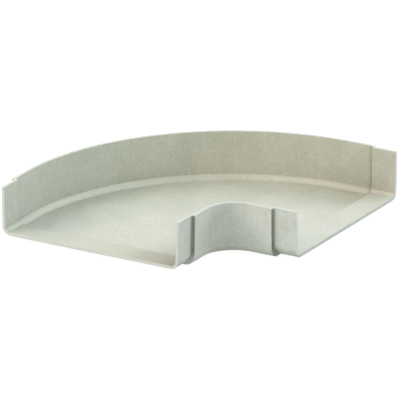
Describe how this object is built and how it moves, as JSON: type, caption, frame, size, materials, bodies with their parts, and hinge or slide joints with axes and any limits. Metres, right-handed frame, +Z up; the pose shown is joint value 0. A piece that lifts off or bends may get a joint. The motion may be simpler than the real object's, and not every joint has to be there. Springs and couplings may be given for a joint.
{
  "type": "cable tray bend",
  "caption": "Flat quarter bend for cable tray, moulded in one piece: an open U-shaped channel with rounded corners and a joggled spigot at each end.",
  "frame": {"origin": "the point on the underside of the floor where the centre lines of the two runs cross", "axes": "+Z up out of the channel, one open end faces -X and the other faces -Y, and the turn's centre lies towards -X -Y"},
  "size_m": [0.289, 0.289, 0.0532],
  "materials": {
    "moulding": "satin pebble grey glass-reinforced polyester with a faint fibre mottle"
  },
  "bodies": {
    "root": {"tray_bend": "moulding"}
  },
  "joints": []
}
